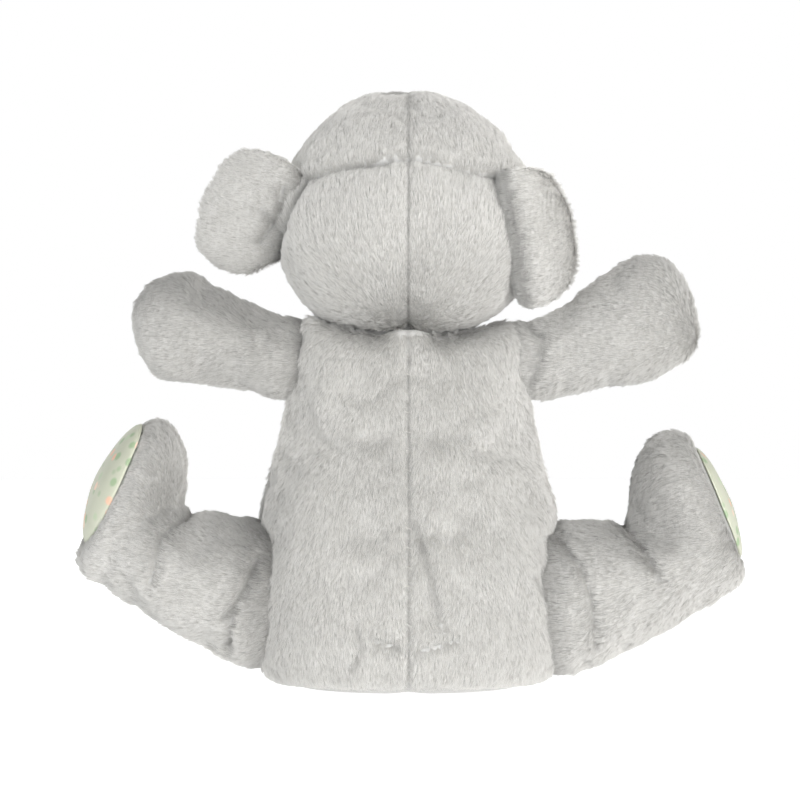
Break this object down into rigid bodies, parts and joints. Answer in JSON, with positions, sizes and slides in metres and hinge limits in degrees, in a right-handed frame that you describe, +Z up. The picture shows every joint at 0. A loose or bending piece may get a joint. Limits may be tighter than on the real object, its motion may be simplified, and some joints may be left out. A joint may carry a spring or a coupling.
{
  "type": "stuffed toy elephant",
  "caption": "Soft stuffed toy elephant sitting upright in pale grey plush, with arms out, legs to the sides, turning head, hanging trunk, flapping ears and printed soles.",
  "frame": {"origin": "middle of the flat seat panel, on the surface that the toy sits on", "axes": "+Z up, the toy looks along -Y, its own left side is at +X"},
  "size_m": [0.333, 0.1832, 0.301],
  "materials": {
    "plush": "short soft pile with a brushed nap, pale warm grey",
    "printed_cotton": "woven cotton, cream with a small green and peach dotted print",
    "filling": "white polyester fibre filling",
    "thread": "matt grey sewing thread",
    "bag_cloth": "plain thin woven cloth",
    "pellets": "loose smooth pellets",
    "eye_plastic": "glossy near-black button",
    "washer_plastic": "plain moulded plastic"
  },
  "bodies": {
    "torso": {"back_panel_left": "plush", "back_panel_right": "plush", "belly_panel_left": "plush", "belly_panel_right": "plush", "seat_panel": "plush", "body_filling": "filling", "pellet_bag": "bag_cloth", "pellets": "pellets", "closing_stitch": "thread"},
    "neck": {"neck_filling": "filling"},
    "head": {"head_back_panel_left": "plush", "head_back_panel_right": "plush", "face_panel_left": "plush", "face_panel_right": "plush", "head_filling": "filling", "eye_left": "eye_plastic", "eye_right": "eye_plastic", "eye_washer_left": "washer_plastic", "eye_washer_right": "washer_plastic"},
    "trunk": {"trunk_panel_left": "plush", "trunk_panel_right": "plush", "trunk_under_panel": "plush", "trunk_filling": "filling"},
    "ear_left": {"ear_back_panel_left": "plush", "ear_lining_left": "printed_cotton", "ear_batting_left": "filling"},
    "ear_right": {"ear_back_panel_right": "plush", "ear_lining_right": "printed_cotton", "ear_batting_right": "filling"},
    "arm_left": {"arm_back_panel_left": "plush", "arm_front_panel_left": "plush", "arm_filling_left": "filling"},
    "arm_right": {"arm_back_panel_right": "plush", "arm_front_panel_right": "plush", "arm_filling_right": "filling"},
    "leg_left": {"leg_back_panel_left": "plush", "leg_front_panel_left": "plush", "leg_filling_left": "filling", "sole_pad_left": "printed_cotton"},
    "leg_right": {"leg_back_panel_right": "plush", "leg_front_panel_right": "plush", "leg_filling_right": "filling", "sole_pad_right": "printed_cotton"}
  },
  "joints": [
    {"name": "neck_turn", "type": "hinge", "parent": "torso", "child": "neck", "pos_m": [0, 0.002, 0.16], "axis": [0, 0, 1], "range_deg": [-25, 25], "stiffness_Nm_per_rad": 0.3},
    {"name": "head_nod", "type": "hinge", "parent": "neck", "child": "head", "pos_m": [0, 0.002, 0.207], "axis": [1, 0, 0], "range_deg": [-4, 12], "stiffness_Nm_per_rad": 1},
    {"name": "trunk_lift", "type": "hinge", "parent": "head", "child": "trunk", "pos_m": [0, -0.061, 0.221], "axis": [-1, 0, 0], "range_deg": [-20, 25], "stiffness_Nm_per_rad": 0.15},
    {"name": "ear_left_flap", "type": "hinge", "parent": "head", "child": "ear_left", "pos_m": [0.0677, 0.015, 0.2355], "axis": [0.2599, -0.4398, -0.8597], "range_deg": [-25, 30], "stiffness_Nm_per_rad": 0.03},
    {"name": "ear_right_flap", "type": "hinge", "parent": "head", "child": "ear_right", "pos_m": [-0.0677, 0.015, 0.2355], "axis": [0.2599, 0.4398, 0.8597], "range_deg": [-5, 45], "stiffness_Nm_per_rad": 0.03},
    {"name": "arm_left_swing", "type": "hinge", "parent": "torso", "child": "arm_left", "pos_m": [0.0674, 0, 0.164], "axis": [0.1783, 0, -0.984], "range_deg": [-25, 55], "stiffness_Nm_per_rad": 0.1},
    {"name": "arm_right_swing", "type": "hinge", "parent": "torso", "child": "arm_right", "pos_m": [-0.0674, 0, 0.164], "axis": [0.1783, 0, 0.984], "range_deg": [-25, 55], "stiffness_Nm_per_rad": 0.1},
    {"name": "leg_left_swing", "type": "hinge", "parent": "torso", "child": "leg_left", "pos_m": [0.087, -0.002, 0.049], "axis": [0, 0, -1], "range_deg": [-12, 45], "stiffness_Nm_per_rad": 0.25},
    {"name": "leg_right_swing", "type": "hinge", "parent": "torso", "child": "leg_right", "pos_m": [-0.087, -0.002, 0.049], "axis": [0, 0, 1], "range_deg": [-12, 45], "stiffness_Nm_per_rad": 0.25}
  ]
}
